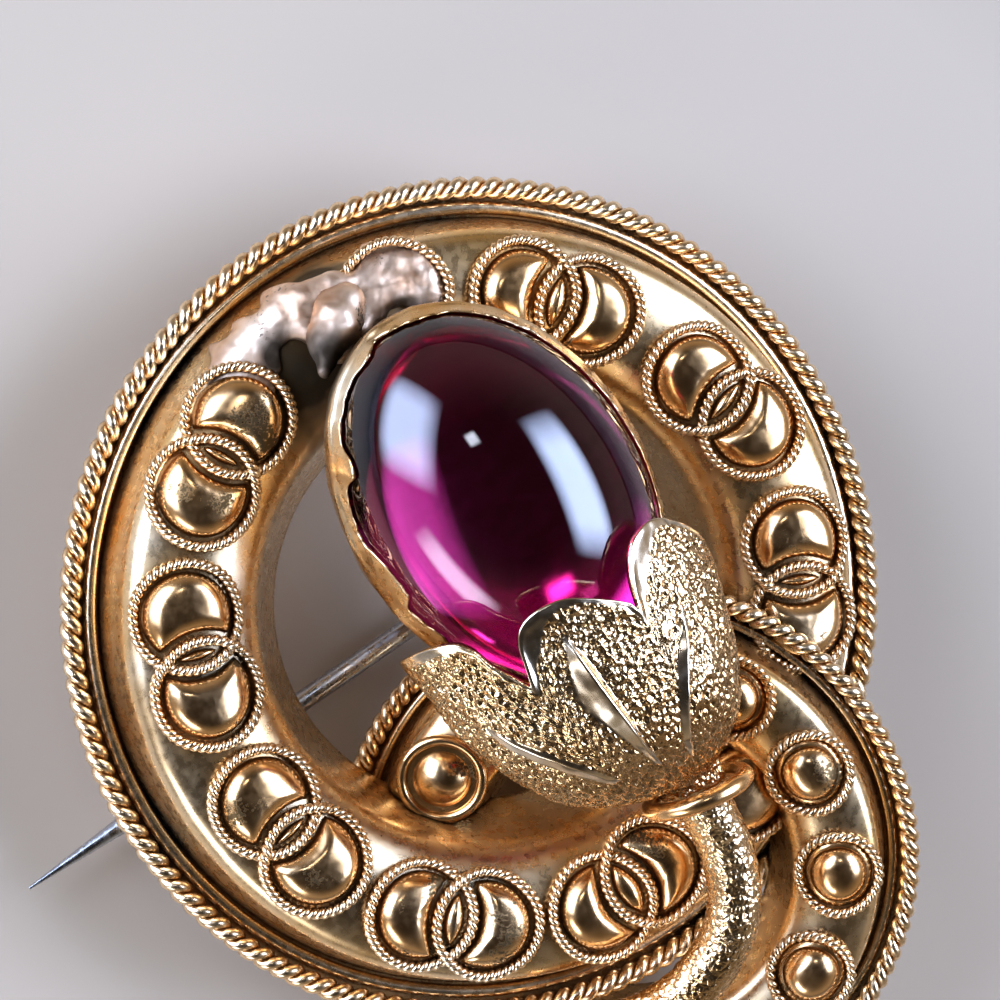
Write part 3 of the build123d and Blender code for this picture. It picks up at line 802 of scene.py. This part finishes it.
def addSmallBosses():
    sizes, ring = smallBosses, smallRing
    for number in sizes["whole"] + sizes["cut"]:
        centre = tuple(spun(2 * pi * (number - 1) / sizes["count"], sizes["circle"]).xy)
        node = f"small_boss_{number}"
        route = bossRoute(ring, sizes, centre, 20 + number)
        wire = twistedWire(route, sizes["wire"], sizes["twists"], perTwist=10, sides=8)
        dish = [(*centre, sizes["radius"] - 2 * sizes["wire"])]
        button = [(*centre, sizes["button"])]
        middle = joinParts([pillow(ring, sizes, centre, dish, [], *sizes["dish"], 5, 40),
                            pillow(ring, sizes, centre, button, [], *sizes["dome"])])
        pieces = [makePiece(f"smallBossWire{number}", ring["place"], *wire, wireGold, "gold", node),
                  makePiece(f"smallBossButton{number}", ring["place"], *middle, bossGold, "gold", node)]
        if number in sizes["cut"]:
            for piece in pieces:
                cutAway(piece, largeEnvelope())
    # the sliver of a boss that the large ring leaves stays a solid
    finishSolid(sizes["kept"], bossGold)


addLargeBosses()
addSmallBosses()
print("bosses built")

# the bud: stone, bezel, calyx, collar and stem
bud = {"x": 1.5, "y": 3.9, "lean": 2.0, "footDistance": 12.8, "footHeight": 6.9}
budTurn = Matrix.Rotation(radians(bud["lean"]), 4, "Z")
budPlace = facePlace @ Matrix.Translation((bud["x"], bud["y"], 0)) @ budTurn
stone = {"length": 14.0, "width": 10.0, "dome": 4.3, "girdle": 0.5, "base": 6.6, "around": 160, "rows": 40}


def addGarnet():
    halfX, halfY = stone["width"] / 2, stone["length"] / 2
    top = stone["base"] + stone["girdle"]
    rows = [(0.9, stone["base"]), (0.985, stone["base"] + 0.01), (1.0, stone["base"] + 0.08)]
    for row in range(stone["rows"]):
        angle = pi / 2 * row / stone["rows"]
        rows.append((cos(angle), top + stone["dome"] * sin(angle)))
    points = [(halfX * share * cos(angle), halfY * share * sin(angle), height)
              for share, height in rows for angle in turns(stone["around"])]
    points, faces = closedBody(points, len(rows), stone["around"])
    points[-1] = (0, 0, top + stone["dome"])
    makePiece("garnetStone", budPlace, points, faces, garnetRed, "garnet", "garnet")


bezel = {
    "wall": 0.35, "cupDepth": 1.7, "lip": 1.25, "steps": 360, "edge": 0.07, "wave": 0.05, "crumple": 0.07,
    "nicks": 0.08, "fineNicks": 0.07,
    "outside": [(0.59, 0.00), (0.26, 0.25), (0.07, 0.60)],
    "inside": [(0.21, 0.35), (0.53, 0.21)],
    # turn from the foot, drop of the cut edge
    "cut": [
        (0, 0.55), (24, 0.6), (40, 0.4), (55, 0.5), (70, 0.3), (84, 0.12), (92, 0.34), (100, 0.18),
        (110, 0.4), (122, 0.55), (134, 0.45), (150, 0.58), (166, 0.46), (178, 0.55), (186, 0.85),
        (190, 0.6), (194, 0.4), (204, 0.62), (218, 0.68), (227, 0.48), (231, 0.02), (236, -0.02),
        (239, 0.42), (246, 0.66), (256, 0.58), (260, 0.3), (264, 0.04), (272, -0.08), (276, 0.02),
        (279, 0.4), (286, 0.3), (291, 0.12), (296, 0.36), (304, 0.3), (322, 0.45), (342, 0.6), (360, 0.55),
    ],
}


def bezelRow(inset, height, edgeShare, ragged=True):
    row = []
    for step in range(bezel["steps"]):
        turn = 360 * step / bezel["steps"]
        angle = radians(turn)
        spot = Vector((sin(angle), cos(angle), 0))
        drop = readTable(bezel["cut"], turn)[0] + bezel["nicks"] * noise.noise(spot * 9)
        drop += bezel["fineNicks"] * noise.noise(spot * 26)
        lift = edgeShare * bezel["lip"] * (1 - min(max(drop, -0.12), 0.95))
        lean = 1 - sqrt(1 - (lift / stone["dome"]) ** 2)
        crumple = spot * 12 + Vector((0, 0, height * 1.4 + lift * 3))
        wave = 0.0
        if ragged:
            wave = bezel["wave"] * noise.noise(spot * 7 + Vector((0, 0, height)))
            wave += edgeShare * bezel["crumple"] * abs(noise.noise(crumple))
        halfX = (stone["width"] / 2) * (1 - lean) + seam + inset + wave
        halfY = (stone["length"] / 2) * (1 - lean) + seam + inset + wave
        row.append((halfX * sin(angle), -halfY * cos(angle), height + lift))
    return row


def addBezel():
    base, depth, wall = stone["base"], bezel["cupDepth"], bezel["wall"]
    bottom = base - depth
    girdleTop = base + stone["girdle"]
    rows = [bezelRow(wall - inset * depth, bottom + height * depth, 0)
            for inset, height in bezel["outside"]]
    rows += [bezelRow(wall - 0.02, base, 0), bezelRow(wall, base + 0.5 * stone["girdle"], 0)]
    for share in (0, 0.15, 0.3, 0.45, 0.6, 0.75, 0.9, 0.97):
        rows.append(bezelRow(wall + (bezel["edge"] - wall) * share ** 0.6, girdleTop, share))
    rows.append(bezelRow(bezel["edge"] * 0.6, girdleTop, 1, False))
    for share in (0.97, 0.8, 0.5, 0.2, 0):
        rows.append(bezelRow(seam * 0.6, girdleTop, share, False))
    rows += [bezelRow(0, base - seam, 0, False), bezelRow(-wall, base - seam, 0, False)]
    rows += [bezelRow(-wall - inset * depth, bottom + height * depth, 0, False)
             for inset, height in bezel["inside"]]
    body = closedBody([point for row in rows for point in row], len(rows), bezel["steps"])
    cup = makePiece("bezelCup", budPlace, *body, bezelGold, "gold", "bezel")
    cup.data.materials.append(foilSilver)
    foilRow = len(rows) - len(bezel["inside"]) - 1
    for face in cup.data.polygons:
        first = min(face.vertices)
        if foilRow * bezel["steps"] <= first < len(rows) * bezel["steps"]:
            face.material_index = 1


calyx = {
    "wall": 0.32, "length": 9.6, "halfWidth": 5.45, "rise": 3.75, "drop": 1.9, "axisHeight": 7.9,
    "lip": 0.18, "lipStart": 0.85, "shift": -0.65, "steps": 540, "rows": 138,
    "grain": 0.14, "grainSize": 0.26, "dents": 0.06, "bead": 0.06, "beadWidth": 0.12, "foldWave": 0.03,
    # turn about the bud from its top towards +X, length of the wall there
    "edge": [
        (-180, 0.30), (-150, 0.34), (-128, 0.60), (-114, 0.90), (-103, 1.02), (-90, 1.08), (-74, 1.10),
        (-60, 1.10), (-48, 1.075), (-43, 1.025), (-40.5, 0.95), (-36.3, 0.88), (-31.8, 0.805), (-29, 0.87),
        (-26, 0.96), (-22, 1.007), (-15, 1.024), (-6.5, 1.011), (0, 0.976), (7.3, 0.916), (14.3, 0.848),
        (16.5, 0.81), (20, 0.90), (26, 0.984), (32, 1.018), (42, 1.022), (50, 0.99), (57, 0.94), (68, 0.87),
        (84, 0.77), (102, 0.58), (118, 0.44), (140, 0.34), (180, 0.30),
    ],
    # along, width, rise, drop, climb
    "section": [
        (0.00, 0.200, 0.31, 0.60, 0.00),
        (0.08, 0.240, 0.35, 0.68, 0.03),
        (0.14, 0.430, 0.53, 0.82, 0.20),
        (0.22, 0.600, 0.69, 0.90, 0.50),
        (0.32, 0.725, 0.83, 0.96, 0.80),
        (0.45, 0.835, 0.93, 1.00, 0.96),
        (0.60, 0.935, 0.98, 1.00, 1.00),
        (0.78, 1.000, 1.00, 1.00, 1.00),
        (1.10, 1.020, 1.00, 1.00, 1.00),
    ],
    # turn, width of the smooth fold along the petals' edge
    "fold": [(-180, 0.2), (-70, 0.4), (-48, 0.35), (-34, 0.25), (-29, 0.9), (-22, 1.2), (-14, 0.6),
             (-4, 0.3), (12, 0.3), (18, 0.9), (25, 1.3), (34, 0.9), (44, 0.4), (60, 0.25), (180, 0.2)],
    # chisel cuts: place along the calyx, turn, width of the left slope, width of the right one, depth
    "cuts": [
        [(0.26, -12.4, 0.08, 0.06, 0.00), (0.36, -11.9, 0.22, 0.12, 0.14), (0.50, -11.0, 0.50, 0.16, 0.23),
         (0.66, -11.0, 0.70, 0.17, 0.27), (0.80, -11.3, 0.32, 0.16, 0.26), (0.89, -11.6, 0.06, 0.06, 0.00)],
        [(0.20, 5.0, 0.10, 0.10, 0.00), (0.30, 8.5, 0.24, 0.20, 0.14), (0.48, 19.5, 0.32, 0.22, 0.20),
         (0.60, 28.0, 0.28, 0.20, 0.16), (0.69, 34.0, 0.06, 0.06, 0.00)],
        [(0.30, -36.0, 0.20, 0.20, 0.00), (0.44, -42.5, 0.45, 0.20, 0.08), (0.62, -54.5, 0.40, 0.20, 0.08),
         (0.75, -62.0, 0.10, 0.10, 0.00)],
    ],
}


@lru_cache(maxsize=None)
def calyxEdge(turn):
    # length of the wall and width of its smooth fold
    return readTable(calyx["edge"], turn)[0], readTable(calyx["fold"], turn)[0]


def calyxPoint(turn, share, inset):
    along = calyx["length"] * share * calyxEdge(turn)[0]
    width, rise, drop, climb = readTable(calyx["section"], along / calyx["length"])
    lip = calyx["lip"] * max(0, (share - calyx["lipStart"]) / (1 - calyx["lipStart"])) ** 2
    angle = radians(turn)
    halfX = calyx["halfWidth"] * width - inset + lip
    halfZ = (calyx["rise"] * rise if abs(turn) <= 90 else calyx["drop"] * drop) - inset + lip
    height = bud["footHeight"] + (calyx["axisHeight"] - bud["footHeight"]) * climb
    return Vector((calyx["shift"] * climb + halfX * sin(angle), along - bud["footDistance"],
                   height + halfZ * cos(angle)))


def grainHeight(spot, size):
    # crowded beads, each a little higher or lower than those beside it
    distances, centres = noise.voronoi(spot / size)
    bead = sqrt(max(0.0, 1 - (distances[0] / 0.75) ** 2))
    crease = blendStep(0.0, 0.35, distances[1] - distances[0])
    return (0.9 + 0.5 * noise.noise(centres[0] * 3.1)) * bead * (0.35 + 0.65 * crease) - 0.5


def cutDepth(turn, place):
    # how deep the chisel cuts go at a spot, and how smooth it is there
    depth, smooth = 0.0, 0.0
    for cut in calyx["cuts"]:
        if not cut[0][0] < place < cut[-1][0]:
            continue
        middle, left, right, deep = readTable(cut, place)
        across = radians(turn - middle) * calyx["rise"] * 1.1
        reach = -across / max(left, 0.01) if across < 0 else across / max(right, 0.01)
        if reach < 1:
            depth = max(depth, deep * (1 - reach))
        smooth = max(smooth, 1 - blendStep(0.9, 1.3, reach))
    return depth, smooth


def addCalyx():
    steps, rows = calyx["steps"], calyx["rows"]
    points, smooth = [], []
    for row in range(rows + 1):
        share = row / rows
        for step in range(steps):
            turn = 360 * step / steps - 180
            spot = calyxPoint(turn, share, 0)
            beside = calyxPoint(turn + 0.9, share, 0) - spot
            onward = calyxPoint(turn, min(share + 0.01, 1), 0) - calyxPoint(turn, share - 0.01, 0)
            normal = onward.cross(beside).normalized()
            reach, fold = calyxEdge(turn)
            toEdge = (1 - share) * reach * calyx["length"]
            depth, bare = cutDepth(turn, share * reach)
            bare = max(bare, 1 - blendStep(fold * 0.85, fold * 1.1, toEdge))
            grain = calyx["grain"] * grainHeight(spot, calyx["grainSize"])
            push = grain * (1 - bare) * blendStep(0.0, 0.06, share)
            push += calyx["dents"] * roughness(spot, 1.3, 4) * (1 - bare) - depth
            bead = calyx["bead"] * exp(-(toEdge / calyx["beadWidth"]) ** 2)
            push += bead + calyx["foldWave"] * bare * roughness(spot, 0.5, 7)
            points.append(tuple(spot + normal * push))
            smooth.append(bare > 0.5)
    innerRows = rows // 5
    for row in range(innerRows, -1, -1):
        share = row / innerRows
        for step in range(steps):
            points.append(tuple(calyxPoint(360 * step / steps - 180, share, calyx["wall"])))
    faces = gridFaces(rows + innerRows + 2, steps, True)
    cup = makePiece("calyxCup", budPlace, points, faces, prickedGold, "granulated_gold", "calyx")
    cup.data.materials.append(foldGold)
    for face in cup.data.polygons:
        if all(corner < len(smooth) and smooth[corner] for corner in face.vertices):
            face.material_index = 1


collar = {"radius": 1.78, "wire": 0.33, "lean": -11.0, "swell": 0.05}


def addCollar():
    foot = Matrix.Translation((0, -bud["footDistance"], bud["footHeight"]))
    lean = Matrix.Rotation(radians(collar["lean"] - bud["lean"]), 4, "Z")
    place = budPlace @ foot @ lean @ Matrix.Rotation(radians(90), 4, "X")
    route = rimRoute((collar["radius"], 0), loose=0)
    ring = roundWire(route, collar["wire"], count=96, sides=20, swell=collar["swell"])
    makePiece("collarRing", place, *ring, plainGold, "gold", "collar")


stem = {
    "radius": 1.0, "clearance": 0.2, "setback": 0.3, "around": 110, "grain": 0.055, "dents": 0.03,
    "overLarge": 0.84, "overSmall": 0.4,  # height of the bosses that it crosses
    # x, y, fall from above the large ring's bosses to the rest on the small ring
    "path": [(1.85, -11.9, 0.00), (0.65, -14.05, 0.06), (-1.7, -15.3, 0.30), (-4.0, -15.5, 0.65),
             (-6.0, -14.6, 1.00)],
}


def stemLine():
    toFace = facePlace.inverted() @ budPlace
    foot = toFace @ Vector((0, -bud["footDistance"] - stem["setback"], bud["footHeight"]))
    room = stem["clearance"] + stem["radius"]
    crossing = largeRing["crest"] + stem["overLarge"] + room
    lean = radians(smallRing["lean"])
    ringX, _, ringHeight = smallRing["at"]
    rest = ringHeight + (stem["path"][-1][0] - ringX) * tan(lean)
    rest += (smallRing["crest"] + stem["overSmall"] + room) / cos(lean)
    line = [foot] + [Vector((x, y, crossing + (rest - crossing) * fall)) for x, y, fall in stem["path"]]
    for _ in range(4):
        cut = [line[0]]
        for first, second in zip(line, line[1:]):
            cut += [first.lerp(second, 0.25), first.lerp(second, 0.75)]
        line = cut + [line[-1]]
    return line


def tube(line, radii, around, relief):
    # a round bar along a line, with rounded ends and a relief on its skin
    last = len(line) - 1
    across = Vector((0.3, 0.1, 1))
    rounding = [pi / 2 * step / 8.5 for step in range(1, 9)]
    rings = []
    for index, middle in enumerate(line):
        along = (line[min(index + 1, last)] - line[max(index - 1, 0)]).normalized()
        across = (across - along * across.dot(along)).normalized()
        radius = radii[index]
        start = [(-angle, radius) for angle in reversed(rounding)] if index == 0 else []
        end = [(angle, radius) for angle in rounding] if index == last else []
        for angle, size in start + [(0, radius)] + end:
            rings.append((middle + along * size * sin(angle), along, across, size * cos(angle)))
    points = []
    for middle, along, across, radius in rings:
        for outward in roundSection(across, along.cross(across), around):
            spot = middle + outward * radius
            points.append(spot + outward * relief(spot))
    return closedBody(points, len(rings), around)


def addStem():
    line = fillLine(stemLine(), 0.07)

    def relief(spot):
        dent = stem["dents"] * (roughness(spot, 1.2, 9) - 1)
        return stem["grain"] * grainHeight(spot, calyx["grainSize"]) + dent
    stalk = tube(line, [stem["radius"]] * len(line), stem["around"], relief)
    makePiece("stemStalk", facePlace, *stalk, prickedGold, "granulated_gold", "stem")


addGarnet()
addBezel()
addCalyx()
addCollar()
addStem()
print("bud built")

# the old repair: lumps of solder over one pair of bosses, with a piece of its wire left
repair = {
    "edge": 0.03, "ragged": 0.25, "lumps": 0.4, "knobs": 0.16, "pores": 0.02, "steps": 190, "rows": 70,
    # turn, radius of the inner edge, radius of the outer one, thickness
    "outline": [
        (66.8, 11.2, 11.7, 0.25), (69.6, 10.75, 13.05, 0.42), (72.6, 11, 13.4, 0.46),
        (76, 11.2, 13.5, 0.5), (79, 11.2, 13.45, 0.58), (81.5, 11, 13.3, 0.72), (84.5, 10.7, 13.25, 0.82),
        (87.5, 10.4, 13.35, 0.86), (90.5, 10.4, 13.4, 0.76), (92.5, 10.9, 13.45, 0.64),
        (94.5, 11.9, 13.5, 0.48), (96.5, 12.2, 13.55, 0.34), (99, 11.9, 13.55, 0.24),
        (102, 11.5, 13.5, 0.16), (105.5, 11.2, 13.5, 0.11), (108.5, 11.6, 13.4, 0.08),
        (111, 12.4, 13, 0.04),
    ],
    "wireAt": (2.68, 11.41), "wireRadius": 1.93, "wire": 0.2, "wireStart": -40, "wireEnd": 128,
    "wireLift": 0.34, "wireSag": 0.2,
    # the wedge of solder that climbs to the bezel: x, y, height, half width
    "wedge": [(0.75, 12.1, 4.5, 0.95), (0.1, 11.75, 4.95, 0.86), (-0.6, 11.3, 5.45, 0.58),
              (-1.1, 10.85, 5.85, 0.3)],
}


def addRepair():
    outline = repair["outline"]
    rows = []
    for i in range(repair["steps"] + 1):
        along = i / repair["steps"]
        turn = outline[0][0] + (outline[-1][0] - outline[0][0]) * along
        inner, outer, thick = readTable(outline, turn)
        under, over = [], []
        for j in range(repair["rows"] + 1):
            across = j / repair["rows"]
            radius = inner + (outer - inner) * across
            jag = repair["ragged"] * noise.noise(Vector((along * 16, across * 2, 1.5)))
            radius += jag * abs(2 * across - 1)
            height = strapHeight(largeRing, radius)
            slope = (strapHeight(largeRing, radius + 0.05) - strapHeight(largeRing, radius - 0.05)) / 0.1
            normal = Vector((-slope, 1)).normalized()
            crown = sqrt(max(0.0, 1 - abs(2 * across - 1) ** 3))
            spot = Vector((radians(turn) * 12, radius, 0))
            lumps = 0.9 + repair["lumps"] * roughness(spot, 1.3, 3)
            lumps += repair["knobs"] * roughness(spot, 0.6, 6)
            thickness = repair["edge"] + thick * crown * lumps + repair["pores"] * roughness(spot, 0.25, 2)
            for side, depth in ((under, seam * 0.5), (over, max(thickness, repair["edge"]) + seam * 0.5)):
                side.append(spun(radians(turn), radius + normal.x * depth, height + normal.y * depth))
        rows.append(under + over[::-1])
    lump = closedBody([point for row in rows for point in row], len(rows), len(rows[0]))
    wedge = [(number, *row) for number, row in enumerate(repair["wedge"])]
    stations = [readTable(wedge, step / 8) for step in range(8 * (len(wedge) - 1) + 1)]
    route = [Vector(station[:3]) for station in stations]
    radii = [station[3] for station in stations]

    def relief(spot):
        return 0.2 * roughness(spot, 1.1, 5) + 0.06 * roughness(spot, 0.4, 8)
    whole = joinParts([lump, tube(route, radii, 48, relief)])
    makePiece("repairSolder", facePlace, *whole, solderGray, "solder", "repair_solder")


def addRepairWire():
    # what is left of the old boss wire at the edge of the solder
    x, y = repair["wireAt"]
    start, sweep = radians(repair["wireStart"]), radians(repair["wireEnd"] - repair["wireStart"])

    def route(share):
        outward = spun(start + sweep * share)
        px, py = x + repair["wireRadius"] * outward.x, y + repair["wireRadius"] * outward.y
        sag = repair["wireSag"] * blendStep(0.35, 0.5, abs(share - 0.5))
        height = drapeHeight(largeRing, largeBosses, px, py) + repair["wire"] + repair["wireLift"] - sag
        return Vector((px, py, height)), outward, Vector((0, 0, 1))
    wireTwists = largeBosses["twists"] * sweep / (2 * pi)
    wire = twistedWire(route, repair["wire"], wireTwists, perTwist=12, sides=8, closed=False)
    makePiece("repairWire", facePlace, *wire, wireGold, "gold", "repair_solder")


addRepair()
addRepairWire()
print("repair built")

# fastening on the back: the solids stay and get their finish
finishSolid("hinge", fastenerGold)
finishSolid("catch", fastenerGold)
finishSolid("pin", pinSteel)

# floor, camera and light
view = {
    "eye": (-28.514, 33.448, 156.845), "right": (0.81097, -0.52221, 0.26385),
    "up": (0.55728, 0.82680, -0.07647), "target": (0, 0, 3.0), "across": 0.79, "above": 3.66, "lens": 159.6,
}


def addFloor():
    reach, gap = 1200, 0.02
    height = cadLow[2] / mm - gap
    points = [(x * reach, y * reach, height) for x, y in ((-1, -1), (1, -1), (1, 1), (-1, 1))]
    floor = newObject("floor", newMesh("floor", Matrix(), points, [(0, 1, 2, 3)]))
    floor.data.materials.append(floorFinish())


def addCamera():
    eye = Vector(view["eye"]) * mm
    right, up = Vector(view["right"]), Vector(view["up"])
    aim = (Vector(view["target"]) + right * view["across"] + up * view["above"]) * mm
    back = (eye - aim).normalized()
    side = up.cross(back).normalized()
    place = Matrix((side, back.cross(side), back)).transposed().to_4x4()
    place.translation = eye
    data = bpy.data.cameras.new("camera")
    data.lens = view["lens"]
    data.sensor_width = 36
    data.clip_start = 0.001
    data.clip_end = 10
    camera = newObject("camera", data)
    camera.matrix_world = place
    scene.camera = camera


lights = [
    # name, azimuth, elevation, distance, width, height, radiance, color
    ("leftPanel", 128, 29, 0.34, 0.37, 0.32, 8.5, (0.55, 0.68, 1.0)),
    ("rightPanel", -18, 43, 0.34, 0.36, 0.21, 10.5, (0.55, 0.68, 1.0)),
    ("lowPanel", 201, 21, 0.34, 0.26, 0.12, 5.0, (0.80, 0.86, 1.0)),
    ("topPanel", 86, 68, 0.42, 0.07, 0.05, 7.0, (0.80, 0.86, 1.0)),
]


def softenEdges(data):
    # the panel fades towards its edges, as a cloth diffuser does
    data.use_nodes = True
    tree = data.node_tree
    place = addNode(tree, "SeparateXYZ", {0: addNode(tree, "NewGeometry").outputs["Parametric"]})
    fade = 1.0
    for axis in ("X", "Y"):
        share = place.outputs[axis]
        bow = times(tree, share, combine(tree, "SUBTRACT", 1.0, share))
        fade = times(tree, ramp(tree, bow, 0.0, 0.2), fade)
    tree.links.new(fade, tree.nodes["Emission"].inputs["Strength"])


def addLights():
    for name, azimuth, elevation, distance, width, height, radiance, color in lights:
        data = bpy.data.lights.new(name, "AREA")
        data.shape = "RECTANGLE"
        data.size = width
        data.size_y = height
        data.energy = radiance * pi * width * height
        data.color = color
        softenEdges(data)
        turn, rise = radians(azimuth), radians(elevation)
        away = spun(turn, cos(rise), sin(rise))
        lamp = newObject(name, data)
        lamp.location = away * distance
        lamp.rotation_euler = (-away).to_track_quat("-Z", "Y").to_euler()
    world = bpy.data.worlds.new("studio")
    world.use_nodes = True
    scene.world = world
    # the room is dim overhead and lighter round about
    tree = world.node_tree
    height = addNode(tree, "SeparateXYZ", {0: addNode(tree, "TexCoord").outputs["Generated"]}).outputs["Z"]
    tree.nodes["Background"].inputs["Color"].default_value = (1.0, 0.88, 0.74, 1)
    tree.links.new(ramp(tree, height, 0.2, 0.85, 0.22, 0.02), tree.nodes["Background"].inputs["Strength"])
    scene.view_settings.view_transform = "Standard"
    scene.view_settings.look = "Medium High Contrast"
    scene.view_settings.exposure = 0.38


addFloor()
addCamera()
addLights()
print("studio built")
